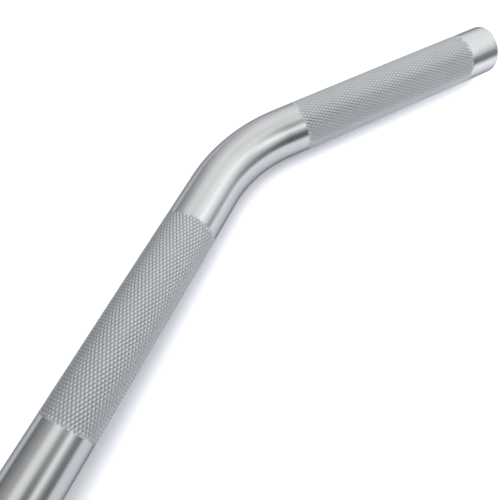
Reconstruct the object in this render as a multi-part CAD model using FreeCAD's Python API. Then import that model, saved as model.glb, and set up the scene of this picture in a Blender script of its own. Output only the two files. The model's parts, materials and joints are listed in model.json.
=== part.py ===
"""Curl bar for a cable machine: a bent, knurled steel bar with a revolving and swivelling hanger.

Millimetres and degrees. The bar lies on a flat surface, with +Z up and +X along its length, its two grip
bends towards +Y and its hanger towards -Y. It rests on its two stop collars and its two grip bends, and
the hanger rests on the edge of its yoke. The origin is on that surface, under the middle of the part.
"""
import FreeCAD
import Part
import os
from math import asin, atan2, cos, degrees, hypot, radians, sin, sqrt

Vector = FreeCAD.Vector
ORIGIN = Vector(0, 0, 0)
ALONG = Vector(1, 0, 0)
UP = Vector(0, 0, 1)
OUTWARD = Vector(0, -1, 0)

# Bar, from its middle to its end
BAR_D = 25.4
MIDDLE_MARGIN = 4.0
MIDDLE_BEND_R = 60.0
MIDDLE_BEND_DEG = 23.0
THROAT_RUN = 30.0
INNER_GRIP = 101.6
INNER_RUN = 24.0
GRIP_BEND_R = 75.0
GRIP_BEND_DEG = 38.0
OUTER_RUN = 9.0
OUTER_GRIP = 101.6
END_BARE = 17.0
END_ROUND = 2.0
KNURL_RISE = 0.15

# Clearances
RUNNING_CLEARANCE = 0.05
SEAT_CLEARANCE = 0.02
SIDE_PLAY = 0.3

# Pivot sleeve and its two bushings
SLEEVE_LENGTH = 56.0
SLEEVE_D = 36.0
SLEEVE_WALL = 3.0
SLEEVE_CHAMFER = 0.8
BUSHING_LENGTH = 18.0
BUSHING_FLANGE = 2.5
BUSHING_FLANGE_D = 34.0

# Thrust washers
THRUST_WASHER = 1.6
THRUST_WASHER_D = 34.0
THRUST_WASHER_CLEARANCE = 0.3

# Stop collars and their grub screws
COLLAR_D = 38.1
COLLAR_WIDTH = 12.0
COLLAR_CHAMFER = 1.0
GRUB_D = 6.0
GRUB_RECESS = 0.4
GRUB_POINT = 1.0
GRUB_SOCKET_FLATS = 3.0
GRUB_SOCKET_DEPTH = 3.0
GRUB_ANGLES_DEG = (-45.0, 45.0)

# Hanger yoke: its reach is from the axis of the bar, and its setback from the ends of the sleeve
STRAP_WIDTH = 28.0
STRAP = 6.0
STRAP_ROUND = 1.0
YOKE_SETBACK = 5.0
YOKE_BEND_R = 5.0
CROWN_REACH = 46.0
WELD_LEG = 4.0

# Swivel in the crown of the yoke
SHANK_D = 12.0
SWIVEL_BUSHING_D = 16.0
SWIVEL_FLANGE = 2.0
SWIVEL_FLANGE_D = 24.0
SHOULDER = 4.0
SHOULDER_D = 20.0
NECK = 3.0
NECK_D = 15.0
NECK_SINK = 5.0
EYE_D = 42.0
EYE_BORE_D = 22.0
EYE_THICK = 12.0
EYE_ROUND = 3.0
EYE_BORE_CHAMFER = 1.0
SWIVEL_WASHER = 2.5
SWIVEL_WASHER_D = 24.0
SWIVEL_WASHER_CLEARANCE = 0.25
NUT = 10.0
NUT_FLATS = 18.0
NUT_CHAMFER = 1.2
SHANK_STUB = 2.0
SHANK_CHAMFER = 1.0

bar_r = BAR_D / 2
crest_r = bar_r + KNURL_RISE
bore_r = bar_r + RUNNING_CLEARANCE
sleeve_r = SLEEVE_D / 2
sleeve_bore_r = sleeve_r - SLEEVE_WALL
collar_r = COLLAR_D / 2
shank_r = SHANK_D / 2

# Faces along the bar, from the middle outward
sleeve_face = SLEEVE_LENGTH / 2
flange_face = sleeve_face + BUSHING_FLANGE
washer_face = flange_face + SIDE_PLAY
collar_face = washer_face + THRUST_WASHER
middle_half = collar_face + COLLAR_WIDTH + MIDDLE_MARGIN

# Faces of the yoke's legs, from the middle outward. The bends between them leave the washer a flat seat.
leg_face = sleeve_face - YOKE_SETBACK
leg_back = leg_face - STRAP
yoke_bend_r = min(YOKE_BEND_R, leg_back - SWIVEL_WASHER_D / 2)

# Faces along the hanger, from the axis of the bar outward
crown_face = CROWN_REACH + STRAP
shoulder_face = crown_face + SWIVEL_FLANGE + SIDE_PLAY
neck_face = shoulder_face + SHOULDER
eye_reach = neck_face + NECK + EYE_D / 2
eye_tip = eye_reach + EYE_D / 2
swivel_washer_face = CROWN_REACH - SIDE_PLAY - SWIVEL_WASHER
nut_face = swivel_washer_face - NUT
shank_end = nut_face - SHANK_STUB


def heading_vector(heading):
    return Vector(cos(radians(heading)), sin(radians(heading)), 0)


def straight(start, heading, length, radius):
    """A straight stretch of bar, and the point where it ends."""
    way = heading_vector(heading)
    return Part.makeCylinder(radius, length, start, way), start + way * length


def bend(start, heading, bend_radius, turn):
    """A bend of the bar, the point where it ends and the centre of its arc. A left turn is positive."""
    side = 1 if turn > 0 else -1
    centre = start + heading_vector(heading + 90 * side) * bend_radius
    disc = Part.Face(Part.Wire(Part.makeCircle(bar_r, start, heading_vector(heading))))
    end = centre + heading_vector(heading + turn - 90 * side) * bend_radius
    return disc.revolve(centre, UP * side, abs(turn)), end, centre


def edges_where(shape, wanted):
    return [edge for edge in shape.Edges if wanted(edge)]


def tube(outer_radius, inner_radius, start, length, way=ALONG):
    foot = way * start
    outer = Part.makeCylinder(outer_radius, length, foot, way)
    return outer.cut(Part.makeCylinder(inner_radius, length, foot, way))


def chamfer_outer_ends(shape, radius, size):
    def on_outer_end(edge):
        return isinstance(edge.Curve, Part.Circle) and abs(edge.Curve.Radius - radius) < SEAT_CLEARANCE
    return shape.makeChamfer(size, edges_where(shape, on_outer_end))


def hexagon(across_flats, length):
    """A hexagonal prism that stands on the origin."""
    corner_r = across_flats / sqrt(3)
    corners = [heading_vector(60 * step) * corner_r for step in range(7)]
    return Part.Face(Part.makePolygon(corners)).extrude(UP * length)


def mirrored(shape):
    return shape.mirror(ORIGIN, ALONG)


def turned(shape, angle):
    return shape.rotated(ORIGIN, ALONG, angle)


# The bar, in its own plane

def half_bar():
    """The pieces of one half of the bar past its straight middle, and how far its bend reaches."""
    pieces = []
    heading = MIDDLE_BEND_DEG
    piece, point, _ = bend(ALONG * middle_half, 0, MIDDLE_BEND_R, MIDDLE_BEND_DEG)
    pieces.append(piece)
    for length, radius in ((THROAT_RUN, bar_r), (INNER_GRIP, crest_r), (INNER_RUN, bar_r)):
        piece, point = straight(point, heading, length, radius)
        pieces.append(piece)
    piece, point, centre = bend(point, heading, GRIP_BEND_R, -GRIP_BEND_DEG)
    pieces.append(piece)
    heading -= GRIP_BEND_DEG
    for length, radius in ((OUTER_RUN, bar_r), (OUTER_GRIP, crest_r)):
        piece, point = straight(point, heading, length, radius)
        pieces.append(piece)
    end_piece, end_point = straight(point, heading, END_BARE, bar_r)
    rim = edges_where(end_piece, lambda edge: edge.BoundBox.Center.distanceToPoint(end_point) < END_ROUND)
    pieces.append(end_piece.makeFillet(END_ROUND, rim))
    return pieces, centre.y + GRIP_BEND_R


def make_curl_bar():
    half, bend_reach = half_bar()
    middle, _ = straight(ALONG * -middle_half, 0, 2 * middle_half, bar_r)
    bar = middle.multiFuse(half + [mirrored(piece) for piece in half])
    return bar.removeSplitter(), bend_reach


# What turns on the bar, and what keeps it there. The hanger points along OUTWARD.

def make_pivot_sleeve():
    sleeve = tube(sleeve_r, sleeve_bore_r, -sleeve_face, SLEEVE_LENGTH)
    return chamfer_outer_ends(sleeve, sleeve_r, SLEEVE_CHAMFER)


def make_sleeve_bushing():
    inner_end = sleeve_face - BUSHING_LENGTH
    body = tube(sleeve_bore_r - SEAT_CLEARANCE, bore_r, inner_end, BUSHING_LENGTH)
    flange = tube(BUSHING_FLANGE_D / 2, bore_r, sleeve_face, BUSHING_FLANGE)
    return body.fuse(flange).removeSplitter()


def make_thrust_washer():
    return tube(THRUST_WASHER_D / 2, bar_r + THRUST_WASHER_CLEARANCE, washer_face, THRUST_WASHER)


def place_grub(shape, angle):
    """Moves a shape from the origin, where it points up, to a screw's place in the collar."""
    middle = collar_face + COLLAR_WIDTH / 2
    return shape.rotated(ORIGIN, ALONG, angle).translated(ALONG * middle)


def make_stop_collar():
    collar = tube(collar_r, bar_r + SEAT_CLEARANCE, collar_face, COLLAR_WIDTH)
    collar = chamfer_outer_ends(collar, collar_r, COLLAR_CHAMFER)
    hole = Part.makeCylinder(GRUB_D / 2, COLLAR_D)
    return collar.cut([place_grub(hole, angle) for angle in GRUB_ANGLES_DEG])


def make_collar_screws():
    radius = GRUB_D / 2 - SEAT_CLEARANCE
    foot = bar_r + SEAT_CLEARANCE
    top = collar_r - GRUB_RECESS
    point = Part.makeCone(radius - GRUB_POINT, radius, GRUB_POINT, UP * foot)
    shaft = Part.makeCylinder(radius, top - foot - GRUB_POINT, UP * (foot + GRUB_POINT))
    socket = hexagon(GRUB_SOCKET_FLATS, GRUB_SOCKET_DEPTH).translated(UP * (top - GRUB_SOCKET_DEPTH))
    screw = point.fuse(shaft).removeSplitter().cut(socket)
    return Part.Compound([place_grub(screw, angle) for angle in GRUB_ANGLES_DEG])


def strap_block(half_length, reach, corner_radius):
    """A block from the axis of the bar out to a rounded crown."""
    corner = Vector(-half_length, -reach, -STRAP_WIDTH / 2)
    block = Part.makeBox(2 * half_length, reach, STRAP_WIDTH, corner)

    def at_crown_corner(edge):
        box = edge.BoundBox
        return box.ZLength > STRAP and box.Center.y < -reach / 2
    return block.makeFillet(corner_radius, edges_where(block, at_crown_corner))


def make_hanger_yoke():
    outer = strap_block(leg_face, crown_face, yoke_bend_r + STRAP)
    inner = strap_block(leg_back, CROWN_REACH, yoke_bend_r)
    yoke = outer.cut(inner)

    def along_side(edge):
        box = edge.BoundBox
        return box.ZLength < STRAP_ROUND and box.Center.y < -STRAP_ROUND
    yoke = yoke.makeFillet(STRAP_ROUND, edges_where(yoke, along_side))
    saddle = Part.makeCylinder(sleeve_r, SLEEVE_LENGTH, ALONG * -sleeve_face, ALONG)
    seat = Part.makeCylinder(SWIVEL_BUSHING_D / 2, crown_face, ORIGIN, OUTWARD)
    return yoke.cut([saddle, seat])


def make_yoke_welds():
    """A bead on each side of each leg, round as much of the sleeve as the strap covers."""
    cover = degrees(asin((STRAP_WIDTH / 2 - STRAP_ROUND) / sleeve_r))
    beads = []
    for face, side in ((leg_back, -1), (leg_face, 1)):
        toe = Vector(face + side * WELD_LEG, -sleeve_r, 0)
        root = Vector(face, -sleeve_r, 0)
        top = Vector(face, -sleeve_r - WELD_LEG, 0)
        crown = root + Vector(side, -1, 0) * (WELD_LEG / sqrt(3))
        outline = [Part.makeLine(top, root), Part.makeLine(root, toe), Part.Arc(toe, crown, top).toShape()]
        section = Part.Face(Part.Wire(outline))
        bead = section.rotated(ORIGIN, ALONG, -cover).revolve(ORIGIN, ALONG, 2 * cover)
        beads += [bead, mirrored(bead)]
    return Part.Compound(beads)


def make_swivel_bushing():
    swivel_bore_r = shank_r + RUNNING_CLEARANCE
    body = tube(SWIVEL_BUSHING_D / 2 - SEAT_CLEARANCE, swivel_bore_r, CROWN_REACH, STRAP, OUTWARD)
    flange = tube(SWIVEL_FLANGE_D / 2, swivel_bore_r, crown_face, SWIVEL_FLANGE, OUTWARD)
    return body.fuse(flange).removeSplitter()


def make_swivel_eye():
    ring = Part.makeCylinder(EYE_D / 2, EYE_THICK, Vector(0, -eye_reach, -EYE_THICK / 2), UP)
    ring = ring.makeFillet(EYE_ROUND, edges_where(ring, lambda edge: isinstance(edge.Curve, Part.Circle)))
    shank = Part.makeCylinder(shank_r, shoulder_face - shank_end, OUTWARD * shank_end, OUTWARD)
    tip = edges_where(shank, lambda edge: abs(edge.BoundBox.Center.y + shank_end) < SHANK_CHAMFER)
    shank = shank.makeChamfer(SHANK_CHAMFER, tip)
    shoulder = Part.makeCylinder(SHOULDER_D / 2, SHOULDER, OUTWARD * shoulder_face, OUTWARD)
    neck = Part.makeCylinder(NECK_D / 2, NECK + NECK_SINK, OUTWARD * neck_face, OUTWARD)
    flats = Part.makeBox(SHOULDER_D, NECK + EYE_D, EYE_THICK,
                         Vector(-SHOULDER_D / 2, -neck_face - NECK - EYE_D, -EYE_THICK / 2))
    eye = ring.fuse(neck.common(flats)).fuse([shoulder, shank]).removeSplitter()
    bore = Part.makeCylinder(EYE_BORE_D / 2, EYE_THICK, Vector(0, -eye_reach, -EYE_THICK / 2), UP)
    mouth_r = EYE_BORE_D / 2 + EYE_BORE_CHAMFER
    mouth = Part.makeCone(EYE_BORE_D / 2, mouth_r, EYE_BORE_CHAMFER,
                          Vector(0, -eye_reach, EYE_THICK / 2 - EYE_BORE_CHAMFER), UP)
    other_mouth = mouth.mirror(ORIGIN, UP)
    return eye.cut([bore, mouth, other_mouth])


def make_swivel_washer():
    hole_r = shank_r + SWIVEL_WASHER_CLEARANCE
    return tube(SWIVEL_WASHER_D / 2, hole_r, swivel_washer_face, SWIVEL_WASHER, OUTWARD)


def make_swivel_nut():
    corner_r = NUT_FLATS / sqrt(3)
    blank = Part.makeCylinder(corner_r, NUT)
    blank = chamfer_outer_ends(blank, corner_r, NUT_CHAMFER)
    nut = hexagon(NUT_FLATS, NUT).common(blank)
    nut = nut.cut(Part.makeCylinder(shank_r + SEAT_CLEARANCE, NUT))
    return nut.rotated(ORIGIN, ALONG, 90).translated(OUTWARD * nut_face)


# How it lies: the bar leans on its bends, and the hanger droops until its yoke meets the surface

curl_bar, bend_reach = make_curl_bar()
bar_lean = degrees(asin((collar_r - bar_r) / bend_reach))
yoke_reach = crown_face - STRAP_ROUND
yoke_drop = STRAP_WIDTH / 2 - STRAP_ROUND
droop = degrees(asin((collar_r - STRAP_ROUND) / hypot(yoke_reach, yoke_drop)) - atan2(yoke_drop, yoke_reach))

far_side = bend_reach * cos(radians(bar_lean)) + bar_r
rim_reach = (eye_tip - EYE_ROUND) * cos(radians(droop))
rim_rise = (EYE_THICK / 2 - EYE_ROUND) * sin(radians(droop))
near_side = -(rim_reach + rim_rise + EYE_ROUND)
hub = Vector(0, -(far_side + near_side) / 2, collar_r)

bushing = make_sleeve_bushing()
thrust_washer = make_thrust_washer()
collar = make_stop_collar()
screws = make_collar_screws()

on_bar = {
    "stop_collar_right": collar,
    "stop_collar_left": mirrored(collar),
    "collar_screws_right": screws,
    "collar_screws_left": mirrored(screws),
    "thrust_washer_right": thrust_washer,
    "thrust_washer_left": mirrored(thrust_washer),
}
on_hanger = {
    "pivot_sleeve": make_pivot_sleeve(),
    "sleeve_bushing_right": bushing,
    "sleeve_bushing_left": mirrored(bushing),
    "hanger_yoke": make_hanger_yoke(),
    "yoke_welds": make_yoke_welds(),
    "swivel_bushing": make_swivel_bushing(),
    "swivel_eye": make_swivel_eye(),
    "swivel_washer": make_swivel_washer(),
    "swivel_nut": make_swivel_nut(),
}
nodes = {"curl_bar": turned(curl_bar, -bar_lean)}
nodes.update(on_bar)
nodes.update({name: turned(shape, droop) for name, shape in on_hanger.items()})

os.makedirs("parts", exist_ok=True)
for name, shape in nodes.items():
    placed = shape.translated(hub)
    placed.exportStep("parts/" + name + ".step")
    print(name, "valid" if placed.isValid() else "INVALID", len(placed.Solids), "volume", placed.Volume)
print("hub", hub, "bar lean", bar_lean, "droop", droop, "bend reach", bend_reach, "eye reach", eye_reach)
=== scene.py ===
"""A curl bar for a cable machine, dressed for a studio picture.

The bar is made straight, as in the workshop: plain stretches, rolled diamond knurls and rounded ends.
It is then bent along its centre line and laid on the floor. The welds and the lock nut are modelled too.
Metres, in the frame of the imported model.
"""
import json
from math import asin, atan2, cos, hypot, pi, radians, sin, sqrt, tan

import bmesh
import bpy
from mathutils import Matrix, Vector


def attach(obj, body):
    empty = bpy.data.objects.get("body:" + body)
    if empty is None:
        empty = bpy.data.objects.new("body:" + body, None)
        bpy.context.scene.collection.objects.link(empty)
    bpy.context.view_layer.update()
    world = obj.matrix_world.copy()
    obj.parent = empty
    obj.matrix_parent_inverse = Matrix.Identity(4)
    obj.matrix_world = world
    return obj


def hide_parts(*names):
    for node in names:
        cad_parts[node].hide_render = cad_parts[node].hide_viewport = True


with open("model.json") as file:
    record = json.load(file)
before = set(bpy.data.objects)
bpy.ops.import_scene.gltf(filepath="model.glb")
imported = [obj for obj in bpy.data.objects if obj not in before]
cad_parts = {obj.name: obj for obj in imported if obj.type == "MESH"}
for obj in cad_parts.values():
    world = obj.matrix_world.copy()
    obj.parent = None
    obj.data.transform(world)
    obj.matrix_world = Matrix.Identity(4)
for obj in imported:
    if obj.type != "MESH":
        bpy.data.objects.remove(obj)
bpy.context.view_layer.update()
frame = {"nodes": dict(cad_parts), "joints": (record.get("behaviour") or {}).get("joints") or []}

MM = 0.001

# The bar, from its middle to its end
BAR_R = 12.7 * MM
MIDDLE_HALF = 48.4 * MM
MIDDLE_BEND_R = 60 * MM
MIDDLE_BEND = radians(23)
THROAT_RUN = 30 * MM
INNER_GRIP = 101.6 * MM
INNER_RUN = 24 * MM
GRIP_BEND_R = 75 * MM
GRIP_BEND = radians(38)
OUTER_RUN = 9 * MM
OUTER_GRIP = 101.6 * MM
END_BARE = 17 * MM
END_ROUND = 2 * MM
MIDDLE_BEND_STEPS = 12
GRIP_BEND_STEPS = 24
END_ROUND_STEPS = 8

# The rolled diamond knurl
KNURL_STARTS = 45
KNURL_ROWS = 34
KNURL_RISE = 0.15 * MM
KNURL_GROOVE = 0.33 * MM
KNURL_FLANK = 0.67 * MM
KNURL_RUNOUT = 1.0 * MM

# Three points of each diamond lie on the rim of a knurl, and the plain bar carries them on
RING = 3 * KNURL_STARTS

# Points nearer than this are one point
SAME_POINT = 0.002 * MM

# The decimals that count in an angle round a knurl's rim, and round the nut
RIM_DECIMALS = 5
NUT_DECIMALS = 6

# Faces that meet at a smaller angle are shaded as one
CREASE = radians(30)

# The hanger's welds: the sleeve they sit on, the legs' faces with the way out of each, and the beads
SLEEVE_R = 18 * MM
LEG_FACES = ((17 * MM, -1), (23 * MM, 1))
WELD_LEG = 4 * MM
WELD_COVER = radians(46)
WELD_HOLLOW_SHARE = 1.077
WELD_ARC_STEPS = 8
WELD_STEPS = 120
WELD_DROPS = 15
WELD_DROP_SHARE = 0.1
WELD_DROP_BOW = 2
WELD_TAPER = radians(7)
WELD_END_SHARE = 0.2
WELD_CREASE = radians(60)

# The lock nut inside the hanger, measured out from the bar's axis, and its nylon insert
SHANK_R = 6 * MM
THREAD_PITCH = 1.75 * MM
NUT_FLATS = 18 * MM
NUT_FAR = 43.2 * MM
NUT_SHOULDER = 36.2 * MM
NUT_RIM = 33.9 * MM
NUT_NEAR = 33.2 * MM
NUT_RIM_R = 8.3 * MM
NUT_EDGE = 0.5 * MM
NUT_TRIM = radians(30)
INSERT_R = 7.3 * MM
INSERT_EDGE = 0.2 * MM
NUT_SEGMENTS = 72

# The camera, from the picture: where it stands, what it looks at and how it is tilted
CAMERA_PLACE = Vector((0.13087, -0.04526, 0.23892))
CAMERA_TARGET = Vector((0.20665, 0.03896, 0.0127))
CAMERA_ROLL = radians(0.37)
CAMERA_LENS = 39.36
CAMERA_SENSOR = 36
CAMERA_NEAREST = 10 * MM

joints = {joint["name"]: joint for joint in frame["joints"]}
HUB = Vector(joints["hanger_revolve"]["pos_m"])
BAR_WAY = Vector((1, 0, 0))
HANGER_WAY = Vector(joints["eye_swivel"]["axis"]).normalized()
COLLAR_R = HUB.z


# Shader maths

class Signal:
    """A socket's value in a shader, which takes part in sums."""

    def __init__(self, finish, socket):
        self.finish = finish
        self.socket = socket

    def math(self, operation, *values):
        return self.finish.node("ShaderNodeMath", {"operation": operation}, dict(enumerate(values)))

    def __add__(self, other):
        return self.math("ADD", self, other)

    def __sub__(self, other):
        return self.math("SUBTRACT", self, other)

    def __rsub__(self, other):
        return self.math("SUBTRACT", other, self)

    def __mul__(self, other):
        return self.math("MULTIPLY", self, other)

    def __abs__(self):
        return self.math("ABSOLUTE", self)

    __radd__ = __add__
    __rmul__ = __mul__

    def fraction(self):
        return self.math("FRACT", self)

    def clamped(self, low, high):
        return self.math("MINIMUM", self.math("MAXIMUM", self, low), high)


def set_stops(ramp, stops):
    while len(ramp.elements) < len(stops):
        ramp.elements.new(0)
    for element, (place, colour) in zip(ramp.elements, stops):
        element.position = place
        element.color = colour


class Finish:
    """A node tree under construction."""

    def __init__(self, tree):
        self.tree = tree
        tree.nodes.clear()

    def node(self, kind, settings=None, inputs=None, output=0):
        made = self.tree.nodes.new(kind)
        for name, value in (settings or {}).items():
            if name == "stops":
                set_stops(made.color_ramp, value)
            else:
                setattr(made, name, value)
        for key, value in (inputs or {}).items():
            if isinstance(value, Signal):
                self.tree.links.new(value.socket, made.inputs[key])
            else:
                made.inputs[key].default_value = value
        return Signal(self, made.outputs[output] if made.outputs else None)

    def ramp(self, value, *stops):
        return self.node("ShaderNodeValToRGB", {"stops": stops}, {"Fac": value})

    def mixed(self, share, first, second):
        return self.node("ShaderNodeMix", {"data_type": "RGBA"}, {0: share, 6: first, 7: second}, 2)

    def vector(self, operation, first, second, output="Vector"):
        return self.node("ShaderNodeVectorMath", {"operation": operation}, {0: first, 1: second}, output)

    def along(self, place, way):
        """How far a point lies along a direction."""
        return self.vector("DOT_PRODUCT", place, Vector(way).normalized(), "Value")

    def off_axis(self, place, way):
        """How far a point lies from an axis through the origin."""
        across = self.vector("CROSS_PRODUCT", place, way)
        return self.node("ShaderNodeVectorMath", {"operation": "LENGTH"}, {0: across}, "Value")

    def helix(self, place, way, start, pitch):
        """How many turns of a thread lie below a point, from a start direction square to its axis."""
        sides = (self.along(place, start), self.along(place, way.cross(start)))
        turn = self.node("ShaderNodeMath", {"operation": "ARCTAN2"}, dict(enumerate(sides)))
        return self.along(place, way) * (1 / pitch) + turn * (0.5 / pi)

    def smooth_step(self, value, low, high):
        inputs = {"Value": value, "From Min": low, "From Max": high}
        return self.node("ShaderNodeMapRange", {"interpolation_type": "SMOOTHSTEP"}, inputs)

    def facing(self, way, centre, begins, full):
        """How fully a direction points at a side of the studio, by the cosine between them."""
        return self.smooth_step(self.along(way, centre), begins, full)

    def noise(self, place, scale, detail=2.0, roughness=0.5):
        inputs = {"Vector": place, "Scale": scale, "Detail": detail, "Roughness": roughness}
        return self.node("ShaderNodeTexNoise", None, inputs)

    def lines(self, value, scale):
        """Fine lines of uneven depth, square to the way in which a value grows."""
        inputs = {"W": value, "Scale": scale, "Detail": 3.0, "Roughness": 0.6}
        return self.node("ShaderNodeTexNoise", {"noise_dimensions": "1D"}, inputs)

    def place(self, centre=(0, 0, 0)):
        here = self.node("ShaderNodeTexCoord", None, None, "Object")
        return self.vector("SUBTRACT", here, centre)

    def turned(self, place, way):
        """Tool marks that run round an axis, on the faces along it and the faces across it."""
        return self.lines(self.along(place, way) + FACE_MARKS * self.off_axis(place, way), TOOL_MARKS)

    def attribute(self, name, output):
        return self.node("ShaderNodeAttribute", {"attribute_name": name}, None, output)

    def bump(self, height, strength, distance):
        inputs = {"Height": height, "Strength": strength, "Distance": distance}
        return self.node("ShaderNodeBump", None, inputs)

    def ray(self, kind):
        return self.node("ShaderNodeLightPath", None, None, kind)

    def output(self, shader, kind="ShaderNodeOutputMaterial"):
        self.node(kind, None, {"Surface": shader})

    def surface(self, inputs):
        self.output(self.node("ShaderNodeBsdfPrincipled", None, inputs))


def new_material(name, colour):
    material = bpy.data.materials.new(name)
    material.use_nodes = True
    material.diffuse_color = (*colour, 1)
    return material, Finish(material.node_tree)


# Finishes

CHROME = (0.43, 0.44, 0.445)
CHROME_DULL = (0.415, 0.425, 0.43, 1)
CHROME_BRIGHT = (0.445, 0.455, 0.46, 1)
WELD_DULL = (0.42, 0.43, 0.44, 1)
# Painted shade: the dark colour in the roots of the thread on the eye's shank
THREAD_ROOT_SHADE = (0.16, 0.165, 0.17, 1)

# The knurl's chrome colour, from the bottom of its grooves to its crests, with painted shade darkening the
# grooves and a painted highlight brightening the crests
KNURL_PAINTED_SHADING = (
    (0.0, (0.345, 0.36, 0.37, 1)),
    (0.5, (0.425, 0.445, 0.455, 1)),
    (1.0, (0.53, 0.55, 0.56, 1)),
)

# Plating darkens where it is seen at a slant
CHROME_SLANT = (0.3, 0.3, 0.3, 1)

BRONZE = (0.5, 0.33, 0.15)
BRONZE_DARK = (0.42, 0.26, 0.11, 1)
BRONZE_PALE = (0.58, 0.4, 0.2, 1)
BRONZE_PORE = (0.2, 0.12, 0.06, 1)
NYLON = (0.78, 0.77, 0.72)
NYLON_DULL = (0.7, 0.69, 0.62, 1)
NYLON_PALE = (0.82, 0.81, 0.77, 1)
BLACK_OXIDE = (0.05, 0.05, 0.055)
OXIDE_DARK = (0.03, 0.03, 0.034, 1)
OXIDE_RUBBED = (0.13, 0.13, 0.135, 1)
ZINC = (0.6, 0.61, 0.62)
ZINC_DULL = (0.5, 0.515, 0.53, 1)
ZINC_BRIGHT = (0.66, 0.67, 0.675, 1)

# Tool marks to the metre, and how much closer they lie on faces across the axis
TOOL_MARKS = 2600
FACE_MARKS = 1.7


def chrome_tone(finish, haze):
    return finish.mixed(haze.clamped(0.3, 0.7), CHROME_DULL, CHROME_BRIGHT)


def chrome_on_bar():
    """Plated bar stock: polished round and round, with a faint haze."""
    material, finish = new_material("bar_chrome", CHROME)
    straight = finish.attribute("straight", "Vector")
    polish = finish.lines(finish.along(straight, BAR_WAY), TOOL_MARKS)
    haze = finish.noise(straight, 70, 3.0, 0.55)
    specks = finish.noise(straight, 900, 1.0)
    finish.surface({
        "Base Color": chrome_tone(finish, haze),
        "Metallic": 1.0,
        "Roughness": 0.17 + haze * 0.06 + polish * 0.05,
        "Specular Tint": CHROME_SLANT,
        "Normal": finish.bump(polish + specks * 0.3, 0.06, 0.02 * MM),
    })
    return material


def chrome_on_knurl():
    """The rolled grips: a painted highlight on the crests, duller flanks, and painted shade in the grooves
    and on the flanks.
    """
    material, finish = new_material("knurl_chrome", CHROME)
    straight = finish.attribute("straight", "Vector")
    crest = finish.attribute("crest", "Fac")
    haze = finish.noise(straight, 90, 3.0, 0.55)
    grain = finish.noise(straight, 3500, 2.0)
    finish.surface({
        # Painted shade and highlight: the colour darkens towards the bottom of the grooves and brightens
        # towards the crests
        "Base Color": finish.ramp(crest + (haze - 0.5) * 0.25, *KNURL_PAINTED_SHADING),
        "Metallic": 1.0,
        "Roughness": 0.52 - crest * 0.12 + grain * 0.06,
        "Specular Tint": CHROME_SLANT,
        "Normal": finish.bump(grain, 0.1, 0.03 * MM),
    })
    return material


def turned_chrome(name, way, shine):
    """Plated parts that were turned on a lathe, with tool marks round their axis."""
    material, finish = new_material(name, CHROME)
    place = finish.place(HUB)
    marks = finish.turned(place, way)
    haze = finish.noise(place, 110, 3.0, 0.55)
    finish.surface({
        "Base Color": chrome_tone(finish, haze),
        "Metallic": 1.0,
        "Roughness": shine + haze * 0.06 + marks * 0.07,
        "Normal": finish.bump(marks, 0.12, 0.02 * MM),
    })
    return material


def strap_chrome():
    """Plated flat strap: the faint waves of rolled steel show through."""
    material, finish = new_material("strap_chrome", CHROME)
    place = finish.place(HUB)
    waves = finish.noise(place, 260, 2.0)
    haze = finish.noise(place, 80, 3.0, 0.6)
    rolled = finish.noise(finish.vector("MULTIPLY", place, (1, 1, 14)), 170, 3.0, 0.6)
    finish.surface({
        "Base Color": chrome_tone(finish, haze),
        "Metallic": 1.0,
        "Roughness": 0.14 + haze * 0.08 + rolled * 0.06,
        "Normal": finish.bump(waves + rolled * 0.4, 0.16, 0.04 * MM),
    })
    return material


def weld_chrome():
    """Plated weld beads: rougher, with small pits."""
    material, finish = new_material("weld_chrome", CHROME)
    place = finish.place(HUB)
    pits = finish.noise(place, 1500, 3.0, 0.6)
    haze = finish.noise(place, 240, 2.0)
    finish.surface({
        "Base Color": finish.mixed(haze.clamped(0.2, 0.8), WELD_DULL, CHROME_BRIGHT),
        "Metallic": 1.0,
        "Roughness": 0.24 + pits * 0.14,
        "Normal": finish.bump(pits, 0.2, 0.05 * MM),
    })
    return material


def forged_chrome():
    """The plated eye: a faint forged skin, and a thread on the end of its shank, with painted shade in the
    thread's roots.
    """
    material, finish = new_material("forged_chrome", CHROME)
    place = finish.place(HUB)
    skin = finish.noise(place, 420, 2.0)
    haze = finish.noise(place, 110, 3.0, 0.55)
    ridge = abs(finish.helix(place, HANGER_WAY, BAR_WAY, THREAD_PITCH).fraction() - 0.5) * 2
    threaded = 1 - finish.smooth_step(finish.along(place, HANGER_WAY), NUT_NEAR, NUT_NEAR + THREAD_PITCH)
    tone = chrome_tone(finish, haze)
    finish.surface({
        # Painted shade darkens the roots of the thread
        "Base Color": finish.mixed(threaded * (1 - ridge), tone, THREAD_ROOT_SHADE),
        "Metallic": 1.0,
        "Roughness": 0.13 + haze * 0.07 + skin * 0.05 + threaded * 0.15,
        "Normal": finish.bump(skin * 0.08 + threaded * ridge * 4, 0.5, 0.1 * MM),
    })
    return material


def bushing_bronze(name, way):
    """Sintered bronze: small dark pores and fine turning marks."""
    material, finish = new_material(name, BRONZE)
    place = finish.place(HUB)
    marks = finish.turned(place, way)
    cloud = finish.noise(place, 300, 3.0, 0.6)
    pores = finish.smooth_step(finish.noise(place, 2600, 2.0), 0.34, 0.46)
    warm = finish.mixed(cloud.clamped(0.2, 0.8), BRONZE_DARK, BRONZE_PALE)
    finish.surface({
        "Base Color": finish.mixed(pores, BRONZE_PORE, warm),
        "Metallic": 1.0,
        "Roughness": 0.34 + cloud * 0.1 + marks * 0.06,
        "Normal": finish.bump(pores + marks * 0.3, 0.15, 0.03 * MM),
    })
    return material


def washer_nylon(name, way):
    """Natural nylon, slightly cloudy, with turning marks."""
    material, finish = new_material(name, NYLON)
    place = finish.place(HUB)
    marks = finish.turned(place, way)
    cloud = finish.noise(place, 240, 3.0, 0.55)
    finish.surface({
        "Base Color": finish.mixed(cloud.clamped(0.25, 0.75), NYLON_DULL, NYLON_PALE),
        "Roughness": 0.38 + cloud * 0.1 + marks * 0.06,
        "Normal": finish.bump(marks, 0.15, 0.03 * MM),
    })
    return material


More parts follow.
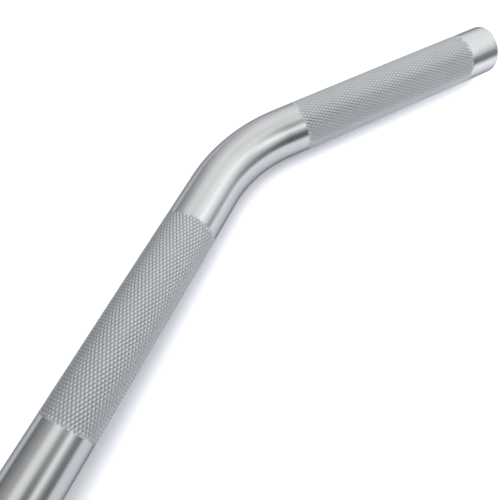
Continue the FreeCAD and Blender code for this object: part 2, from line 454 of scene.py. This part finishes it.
def screw_black():
    """Black oxide, rubbed a little paler in patches."""
    material, finish = new_material("screw_black", BLACK_OXIDE)
    place = finish.place(HUB)
    rubbed = finish.noise(place, 700, 3.0, 0.6)
    pale = finish.smooth_step(rubbed, 0.45, 0.75)
    finish.surface({
        "Base Color": finish.mixed(pale, OXIDE_DARK, OXIDE_RUBBED),
        "Metallic": 1.0,
        "Roughness": 0.36 + rubbed * 0.14,
        "Normal": finish.bump(rubbed, 0.15, 0.03 * MM),
    })
    return material


def plated_zinc(name):
    """Bright zinc on the nut and washer: cool, with cloudy patches."""
    material, finish = new_material(name, ZINC)
    place = finish.place(HUB)
    marks = finish.turned(place, HANGER_WAY)
    cloud = finish.noise(place, 320, 3.0, 0.6)
    finish.surface({
        "Base Color": finish.mixed(cloud.clamped(0.25, 0.75), ZINC_DULL, ZINC_BRIGHT),
        "Metallic": 1.0,
        "Roughness": 0.24 + cloud * 0.12 + marks * 0.05,
        "Normal": finish.bump(marks * 0.5 + cloud, 0.12, 0.03 * MM),
    })
    return material


def dress_nodes():
    """Gives every carried-over part of the hub its finish."""
    collar = turned_chrome("collar_chrome", BAR_WAY, 0.11)
    nylon = washer_nylon("washer_nylon", BAR_WAY)
    bronze = bushing_bronze("bushing_bronze", BAR_WAY)
    black = screw_black()
    finishes = {
        "pivot_sleeve": turned_chrome("sleeve_chrome", BAR_WAY, 0.12),
        "hanger_yoke": strap_chrome(),
        "swivel_bushing": bushing_bronze("swivel_bronze", HANGER_WAY),
        "swivel_eye": forged_chrome(),
        "swivel_washer": plated_zinc("washer_zinc"),
    }
    for side in ("left", "right"):
        finishes["stop_collar_" + side] = collar
        finishes["collar_screws_" + side] = black
        finishes["thrust_washer_" + side] = nylon
        finishes["sleeve_bushing_" + side] = bronze
    for name, material in finishes.items():
        mesh = frame["nodes"][name].data
        mesh.materials.clear()
        mesh.materials.append(material)


# Modelling helpers

def new_mesh(name, bm):
    mesh = bpy.data.meshes.new(name)
    bm.to_mesh(mesh)
    bm.free()
    return mesh


def new_object(name, data):
    made = bpy.data.objects.new(name, data)
    bpy.context.scene.collection.objects.link(made)
    return made


def finish_piece(name, bm, body, materials, nodes=()):
    """Turns a bmesh into a piece that rides on a body."""
    mesh = new_mesh(name, bm)
    for material in materials:
        mesh.materials.append(material)
    piece = new_object(name, mesh)
    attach(piece, body)
    if nodes:
        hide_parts(*nodes)


def verts_of(geometry):
    return [item for item in geometry if isinstance(item, bmesh.types.BMVert)]


def loop_of(verts):
    """The edges that join these vertices."""
    wanted = set(verts)
    return [edge for edge in {e for vert in verts for e in vert.link_edges} if set(edge.verts) <= wanted]


def drawn_out(bm, verts, forward, radial=1.0):
    """Draws a ring of vertices on along X, and scales the new ring about the bar's axis."""
    made = bmesh.ops.extrude_edge_only(bm, edges=loop_of(verts))
    ring = verts_of(made["geom"])
    bmesh.ops.translate(bm, vec=(forward, 0, 0), verts=ring)
    bmesh.ops.scale(bm, vec=(1, radial, radial), verts=ring)
    return ring


def add_to(bm, part):
    """Moves a finished part into another bmesh."""
    carrier = new_mesh("carrier", part)
    bm.from_mesh(carrier)
    bpy.data.meshes.remove(carrier)


def shade(bm, crease=CREASE):
    """Smooth faces, with sharp edges where they meet at an angle."""
    for face in bm.faces:
        face.smooth = True
    for edge in bm.edges:
        edge.smooth = edge.calc_face_angle(0) < crease


# The bar, made straight

ACROSS = Matrix.Rotation(radians(90), 4, "Y")


def plain_stretch(bm, start, lengths):
    """A smooth stretch of bar from start, with a ring after each of the lengths."""
    stand = Matrix.Translation((start, 0, 0)) @ ACROSS
    ring = bmesh.ops.create_circle(bm, segments=RING, radius=BAR_R, matrix=stand)["verts"]
    for length in lengths:
        ring = drawn_out(bm, ring, length)
    return ring


def angle_from_start(vert):
    """A vertex's angle round the bar, with a whole turn counted as none."""
    angle = round(atan2(vert.co.z, vert.co.y) % (2 * pi), RIM_DECIMALS)
    return angle % round(2 * pi, RIM_DECIMALS)


def knurl(bm, start, length):
    """A knurled grip: a flat sheet of diamonds, raised one by one, cut to size and rolled round the bar."""
    sheet = bmesh.new()
    span = KNURL_ROWS + KNURL_STARTS
    half_along = length / KNURL_ROWS / 2
    half_round = pi * BAR_R / KNURL_STARTS
    girth = 2 * pi * BAR_R
    bmesh.ops.create_grid(sheet, x_segments=span, y_segments=span, size=span / 2)
    slant = Matrix(((half_along, -half_along, 0, length / 2), (half_round, half_round, 0, girth / 2),
                    (0, 0, 1, 0), (0, 0, 0, 1)))
    bmesh.ops.transform(sheet, matrix=slant, verts=sheet.verts)
    height = KNURL_GROOVE + KNURL_RISE
    bmesh.ops.inset_individual(sheet, faces=sheet.faces, thickness=KNURL_FLANK, depth=height,
                               use_even_offset=True)
    near, far = Vector((0, 0, 0)), Vector((length, girth, 0))
    for corner, outward in ((near, (-1, 0, 0)), (near, (0, -1, 0)), (far, (1, 0, 0)), (far, (0, 1, 0))):
        everything = [*sheet.verts, *sheet.edges, *sheet.faces]
        bmesh.ops.bisect_plane(sheet, geom=everything, dist=SAME_POINT, plane_co=corner,
                               plane_no=outward, clear_outer=True)
    crest = sheet.verts.layers.float.new("crest")
    for edge in sheet.edges:
        edge.smooth = max(vert.co.z for vert in edge.verts) > height / 2
    for face in sheet.faces:
        face.material_index = 1
    for vert in sheet.verts:
        from_end = min(vert.co.x, length - vert.co.x)
        depth = min(from_end / KNURL_RUNOUT, 1)
        vert[crest] = 1 - depth + depth * vert.co.z / height
        radius = BAR_R + depth * (vert.co.z - KNURL_GROOVE)
        angle = -vert.co.y / BAR_R
        vert.co = (start + vert.co.x, radius * cos(angle), radius * sin(angle))
    bmesh.ops.remove_doubles(sheet, verts=sheet.verts, dist=SAME_POINT)
    for end in (start, start + length):
        rim = [vert for vert in sheet.verts if abs(vert.co.x - end) < SAME_POINT]
        rim.sort(key=angle_from_start)
        for step, vert in enumerate(rim):
            angle = 2 * pi * step / len(rim)
            vert.co = (end, BAR_R * cos(angle), BAR_R * sin(angle))
    add_to(bm, sheet)


def rounded_end(bm, ring):
    """Rounds the bar's end over and closes it."""
    for step in range(END_ROUND_STEPS):
        now = radians(90) * step / END_ROUND_STEPS
        then = radians(90) * (step + 1) / END_ROUND_STEPS
        shrink = (BAR_R - END_ROUND * (1 - cos(then))) / (BAR_R - END_ROUND * (1 - cos(now)))
        ring = drawn_out(bm, ring, END_ROUND * (sin(then) - sin(now)), shrink)
    bmesh.ops.contextual_create(bm, geom=loop_of(ring))


MIDDLE_ARC = MIDDLE_BEND_R * MIDDLE_BEND
GRIP_ARC = GRIP_BEND_R * GRIP_BEND
INNER_STRAIGHT = THROAT_RUN + INNER_GRIP + INNER_RUN
OUTER_STRAIGHT = OUTER_RUN + OUTER_GRIP + END_BARE

# The stretches of the bar's centre line, each with its length and how far it turns
SPANS = (
    (MIDDLE_HALF, 0),
    (MIDDLE_ARC, MIDDLE_BEND),
    (INNER_STRAIGHT, 0),
    (GRIP_ARC, -GRIP_BEND),
    (OUTER_STRAIGHT, 0),
)


def advance(length, turn):
    """The move along a stretch of the centre line that turns by an angle."""
    if turn == 0:
        return Matrix.Translation((length, 0, 0))
    radius = length / turn
    shift = Matrix.Translation((radius * sin(turn), radius * (1 - cos(turn)), 0))
    return shift @ Matrix.Rotation(turn, 4, "Z")


def bent(point):
    """Where a point of the straight bar goes when the bar is bent."""
    station = Matrix.Identity(4)
    left = point.x
    for length, turn in SPANS:
        part = min(left, length)
        station = station @ advance(part, turn * part / length)
        left -= part
        if left <= 0:
            break
    return station @ Vector((left, point.y, point.z))


def bend_reach():
    """How far the grip bend's centre line reaches from the hub's axis."""
    start = bent(Vector((MIDDLE_HALF + MIDDLE_ARC + INNER_STRAIGHT, 0, 0)))
    return start.y - GRIP_BEND_R * cos(MIDDLE_BEND) + GRIP_BEND_R


BAR_LEAN = asin((COLLAR_R - BAR_R) / bend_reach())
LAID = Matrix.Translation(HUB) @ Matrix.Rotation(-BAR_LEAN, 4, "X")


def make_bar():
    """Makes one half of the bar straight, bends it, mirrors it and lays it on the floor."""
    bm = bmesh.new()
    bm.verts.layers.float.new("crest")
    middle_bend = [MIDDLE_ARC / MIDDLE_BEND_STEPS] * MIDDLE_BEND_STEPS
    grip_bend = [GRIP_ARC / GRIP_BEND_STEPS] * GRIP_BEND_STEPS
    plain_stretch(bm, 0, [MIDDLE_HALF, *middle_bend, THROAT_RUN])
    place = MIDDLE_HALF + MIDDLE_ARC + THROAT_RUN
    knurl(bm, place, INNER_GRIP)
    place += INNER_GRIP
    plain_stretch(bm, place, [INNER_RUN, *grip_bend, OUTER_RUN])
    place += INNER_RUN + GRIP_ARC + OUTER_RUN
    knurl(bm, place, OUTER_GRIP)
    place += OUTER_GRIP
    ring = plain_stretch(bm, place, [END_BARE - END_ROUND])
    rounded_end(bm, ring)
    bmesh.ops.remove_doubles(bm, verts=bm.verts, dist=SAME_POINT)
    for face in bm.faces:
        face.smooth = True
    for edge in bm.edges:
        if len({face.material_index for face in edge.link_faces}) > 1:
            edge.smooth = False
    straight = bm.verts.layers.float_vector.new("straight")
    for vert in bm.verts:
        vert[straight] = vert.co
        vert.co = bent(vert.co)
    everything = [*bm.verts, *bm.edges, *bm.faces]
    bmesh.ops.mirror(bm, geom=everything, matrix=Matrix.Identity(4), merge_dist=SAME_POINT, axis="X")
    bmesh.ops.recalc_face_normals(bm, faces=bm.faces)
    bmesh.ops.transform(bm, matrix=LAID, verts=bm.verts)
    finish_piece("knurled_bar", bm, "bar", [chrome_on_bar(), chrome_on_knurl()], ["curl_bar"])


# The hanger

# From the hanger's own directions, along the bar and out to the eye, to the floor's
HANGER_TURN = Matrix((BAR_WAY, HANGER_WAY, BAR_WAY.cross(HANGER_WAY))).transposed()
HUNG = Matrix.Translation(HUB) @ HANGER_TURN.to_4x4()


def weld_bead(face, side):
    """A fillet bead round the sleeve against one face of a leg, laid drop by drop."""
    bead = bmesh.new()
    root = bead.verts.new((face, SLEEVE_R, 0))
    toe = bead.verts.new((face + side * WELD_LEG, SLEEVE_R, 0))
    hollow = WELD_HOLLOW_SHARE * WELD_LEG
    centre = root.co - Vector((side * hollow, hollow, 0))
    sweep = radians(90) - 2 * atan2(hollow, hollow + WELD_LEG)
    arc = bmesh.ops.spin(bead, geom=[toe], cent=centre, axis=(0, 0, side), angle=sweep,
                         steps=WELD_ARC_STEPS)
    top = verts_of(arc["geom_last"])[0]
    bead.edges.new((root, toe))
    bead.edges.new((top, root))
    to_start = Matrix.Rotation(-WELD_COVER, 3, "X")
    bmesh.ops.rotate(bead, cent=(0, 0, 0), matrix=to_start, verts=bead.verts)
    outline = [*bead.verts, *bead.edges]
    ends = [list(bead.edges)]
    swept = bmesh.ops.spin(bead, geom=outline, cent=(0, 0, 0), axis=BAR_WAY, angle=2 * WELD_COVER,
                           steps=WELD_STEPS)
    ends.append([item for item in swept["geom_last"] if isinstance(item, bmesh.types.BMEdge)])
    for end in ends:
        bmesh.ops.contextual_create(bead, geom=end)
    for vert in bead.verts:
        angle = atan2(vert.co.z, vert.co.y)
        radius = hypot(vert.co.y, vert.co.z)
        run, rise = vert.co.x - face, radius - SLEEVE_R
        across = atan2(rise, abs(run)) / radians(90)
        drop = WELD_DROPS * (angle + WELD_COVER) / (2 * WELD_COVER)
        drop -= WELD_DROP_BOW * across * (1 - across)
        size = 1 - WELD_DROP_SHARE * (1 - abs(sin(pi * drop)))
        from_end = (WELD_COVER - abs(angle)) / WELD_TAPER
        size *= min(1, sqrt(WELD_END_SHARE + (1 - WELD_END_SHARE) * from_end))
        radius = SLEEVE_R + rise * size
        vert.co = (face + run * size, radius * cos(angle), radius * sin(angle))
    return bead


def make_welds():
    """Four beads, on both faces of both legs."""
    bm = bmesh.new()
    for face, side in LEG_FACES:
        add_to(bm, weld_bead(face, side))
        add_to(bm, weld_bead(-face, -side))
    bmesh.ops.recalc_face_normals(bm, faces=bm.faces)
    shade(bm, WELD_CREASE)
    bmesh.ops.transform(bm, matrix=HUNG, verts=bm.verts)
    finish_piece("rippled_welds", bm, "hanger", [weld_chrome()], ["yoke_welds"])


def hex_reach(angle):
    """How far the nut's side lies from its axis at an angle."""
    return NUT_FLATS / 2 / cos((angle + radians(30)) % radians(60) - radians(30))


def ring_round_shank(outline):
    """A closed ring round the eye's shank, from the radius and place of each turn of its outline.

    A turn without a radius follows the flats, and its slope trims the corners.
    """
    bm = bmesh.new()
    first = ring = bmesh.ops.create_circle(bm, segments=NUT_SEGMENTS, radius=SHANK_R)["verts"]
    for step, (radius, out, slope) in enumerate(outline):
        if step:
            ring = verts_of(bmesh.ops.extrude_edge_only(bm, edges=loop_of(ring))["geom"])
        for vert in ring:
            angle = round(atan2(vert.co.z if step else vert.co.y, vert.co.x), NUT_DECIMALS)
            reach = radius or hex_reach(angle)
            place = out + slope * (reach - NUT_FLATS / 2)
            vert.co = (reach * cos(angle), place, reach * sin(angle))
    bmesh.ops.bridge_loops(bm, edges=loop_of(first) + loop_of(ring))
    bmesh.ops.recalc_face_normals(bm, faces=bm.faces)
    shade(bm)
    bmesh.ops.transform(bm, matrix=HUNG, verts=bm.verts)
    return bm


def make_lock_nut():
    """A hexagon nut with a round rim, and the nylon insert that stands out of it."""
    trim = tan(NUT_TRIM)
    nut = ring_round_shank([
        (SHANK_R, NUT_FAR, 0),
        (NUT_FLATS / 2, NUT_FAR, 0),
        (None, NUT_FAR, -trim),
        (None, NUT_SHOULDER, trim),
        (NUT_FLATS / 2, NUT_SHOULDER, 0),
        (NUT_RIM_R, NUT_SHOULDER, 0),
        (NUT_RIM_R, NUT_RIM + NUT_EDGE, 0),
        (NUT_RIM_R - NUT_EDGE, NUT_RIM, 0),
        (SHANK_R, NUT_RIM, 0),
    ])
    finish_piece("lock_nut", nut, "eye", [plated_zinc("nut_zinc")], ["swivel_nut"])
    insert = ring_round_shank([
        (SHANK_R, NUT_RIM, 0),
        (INSERT_R, NUT_RIM, 0),
        (INSERT_R, NUT_NEAR + INSERT_EDGE, 0),
        (INSERT_R - INSERT_EDGE, NUT_NEAR, 0),
        (SHANK_R + INSERT_EDGE, NUT_NEAR, 0),
        (SHANK_R, NUT_NEAR + INSERT_EDGE, 0),
    ])
    finish_piece("lock_insert", insert, "eye", [washer_nylon("insert_nylon", HANGER_WAY)])


dress_nodes()
make_bar()
make_welds()
make_lock_nut()


# Studio

WHITE = (1, 1, 1, 1)

# The floor: how far it reaches, its colour, and the glow that keeps it white to the eye further out
FLOOR_REACH = 4
TABLE = (0.84, 0.85, 0.9)
GLOW_NEAR = 0.03
GLOW_ADDED = 0.4
GLOW_GROWS_FROM = 0.45
GLOW_GROWS_TO = 1.6

# Soft lamps: name, place, target, size, power in watts, and whether the metal mirrors the lamp
LAMPS = (
    ("key_panel", (-0.06, 0.08, 1.0), (0.2, 0.05, 0), 0.55, 5.3, False),
    ("fill_panel", (0.4, -0.06, 0.12), (0.33, 0.06, 0), 0.1, 0.2, False),
    ("glow_panel", (0.45, -0.18, 0.28), (0.33, 0.07, 0), 0.3, 0.12, True),
)

# The studio's light: what comes from all round, and what the right, the ceiling and the left add
ROUND_LIGHT = 0.27
RIGHT_LIGHT = 1.15
CEILING_LIGHT = 0.6
LEFT_LIGHT = 0.28

# The share of it that is missing in front and behind
FRONT_SHADE = 0.58
BACK_SHADE = 0.18

# Sides of the studio: where each lies, and the cosines at which it begins and is full
CEILING = ((0.5, 0.3, 0.81), -0.05, 0.98)
FRONT = ((0.35, -0.94, 0), 0.5, 0.95)
BACK = ((-0.45, 0.89, 0), 0.35, 0.9)
LEFT = ((-0.95, -0.1, 0.3), 0.3, 0.95)

# Soft windows in the studio's ceiling: where each lies, the cosine at its edge and its strength.
# The last is dark, where the camera stands over the bar.
WINDOWS = (
    ((0.2, 0.55, 0.81), 0.93, 0.22),
    ((0.52, -0.22, 0.82), 0.9, 0.2),
    ((0.2, -0.75, 0.63), 0.94, 0.35),
    ((-0.06, 0.16, 0.98), 0.94, 0.7),
    ((0.27, -0.64, 0.72), 0.97, 0.7),
    ((0.16, -0.37, 0.91), 0.955, -0.55),
)
WINDOW_FULL = 0.99


def make_floor():
    bm = bmesh.new()
    bmesh.ops.create_grid(bm, x_segments=1, y_segments=1, size=FLOOR_REACH)
    mesh = new_mesh("floor", bm)
    floor = new_object("floor", mesh)
    material, finish = new_material("white_table", TABLE)
    matte = finish.node("ShaderNodeBsdfDiffuse", None, {"Color": (*TABLE, 1)})
    seen = finish.ray("Is Camera Ray") + finish.ray("Is Glossy Ray")
    away = finish.node("ShaderNodeVectorMath", {"operation": "LENGTH"}, {0: finish.place()}, "Value")
    glow = GLOW_NEAR + finish.smooth_step(away, GLOW_GROWS_FROM, GLOW_GROWS_TO) * GLOW_ADDED
    white = finish.node("ShaderNodeEmission", None, {"Color": WHITE, "Strength": seen * glow})
    finish.output(finish.node("ShaderNodeAddShader", None, {0: matte, 1: white}))
    mesh.materials.append(material)


def make_lamp(name, place, target, size, power, mirrored):
    lamp = bpy.data.lights.new(name, "AREA")
    lamp.size = size
    lamp.energy = power
    lit = new_object(name, lamp)
    lit.location = place
    lit.rotation_euler = (Vector(target) - Vector(place)).to_track_quat("-Z", "Y").to_euler()
    lit.visible_glossy = mirrored


def make_world():
    """A studio brightest overhead and to the right, dim low down in front, and white to the camera."""
    world = bpy.data.worlds.new("studio")
    bpy.context.scene.world = world
    world.use_nodes = True
    finish = Finish(world.node_tree)
    way = finish.node("ShaderNodeTexCoord", None, None, "Generated")
    right = finish.along(way, BAR_WAY).clamped(0, 1)
    ceiling, front, back, left = (finish.facing(way, *side) for side in (CEILING, FRONT, BACK, LEFT))
    light = ROUND_LIGHT + right * RIGHT_LIGHT + ceiling * CEILING_LIGHT + left * LEFT_LIGHT
    light *= (1 - front * FRONT_SHADE) * (1 - back * BACK_SHADE)
    for centre, edge, strength in WINDOWS:
        light += finish.facing(way, centre, edge, WINDOW_FULL) * strength
    seen = finish.ray("Is Camera Ray")
    level = seen + (1 - seen) * light
    sky = finish.node("ShaderNodeBackground", None, {"Color": WHITE, "Strength": level})
    finish.output(sky, "ShaderNodeOutputWorld")


def make_camera():
    lens = bpy.data.cameras.new("camera")
    lens.lens = CAMERA_LENS
    lens.sensor_width = CAMERA_SENSOR
    lens.clip_start = CAMERA_NEAREST
    camera = new_object("camera", lens)
    look = (CAMERA_TARGET - CAMERA_PLACE).to_track_quat("-Z", "Y").to_matrix().to_4x4()
    camera.matrix_world = Matrix.Translation(CAMERA_PLACE) @ look @ Matrix.Rotation(CAMERA_ROLL, 4, "Z")
    bpy.context.scene.camera = camera


make_floor()
for panel in LAMPS:
    make_lamp(*panel)
make_world()
make_camera()
bpy.context.scene.view_settings.view_transform = "Standard"
